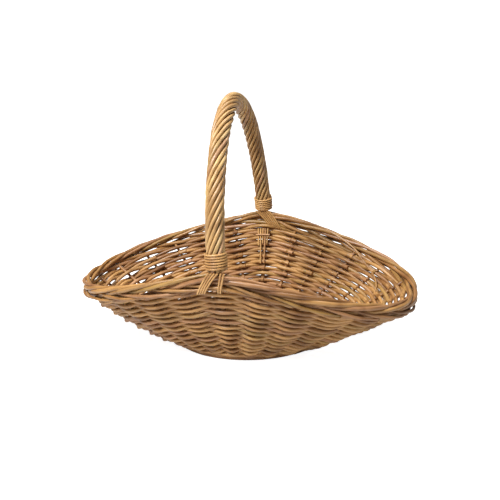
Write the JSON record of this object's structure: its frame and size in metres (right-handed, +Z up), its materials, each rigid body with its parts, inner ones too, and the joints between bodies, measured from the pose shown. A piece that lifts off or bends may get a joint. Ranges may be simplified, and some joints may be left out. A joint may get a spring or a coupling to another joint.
{
  "type": "egg collection basket",
  "caption": "Boat-shaped woven willow gathering basket with flared low ends, a plaited border and a fixed roped hoop handle bound down at both sides.",
  "frame": {"origin": "centre of the basket's bounding box on the surface that it stands on", "axes": "+X along the long sides towards the lower end, +Y across the basket, +Z up"},
  "size_m": [0.4772, 0.3124, 0.3426],
  "materials": {
    "base_willow": "satin",
    "foot_willow": "satin",
    "stake_willow": "satin",
    "border_willow": "satin",
    "core_willow": "satin",
    "rope_willow": "satin",
    "binding_willow": "satin",
    "weave_willow": "satin"
  },
  "bodies": {
    "root": {"base_cross_sticks": "base_willow", "base_long_sticks": "base_willow", "base_weave": "base_willow", "border_rods": "border_willow", "far_binding": "binding_willow", "far_ties": "binding_willow", "foot_liners": "binding_willow", "foot_ring": "foot_willow", "handle_core": "core_willow", "handle_strands": "rope_willow", "near_binding": "binding_willow", "near_ties": "binding_willow", "side_stakes": "stake_willow", "weave_row_01": "weave_willow", "weave_row_02": "weave_willow", "weave_row_03": "weave_willow", "weave_row_04": "weave_willow", "weave_row_05": "weave_willow", "weave_row_06": "weave_willow", "weave_row_07": "weave_willow", "weave_row_08": "weave_willow", "weave_row_09": "weave_willow", "weave_row_10": "weave_willow", "weave_row_11": "weave_willow", "weave_row_12": "weave_willow", "weave_row_13": "weave_willow", "weave_row_14": "weave_willow", "weave_row_15": "weave_willow", "weave_row_16": "weave_willow", "weave_row_17": "weave_willow", "weave_row_18": "weave_willow", "weave_row_19": "weave_willow", "weave_row_20": "weave_willow", "weave_row_21": "weave_willow"}
  },
  "joints": []
}
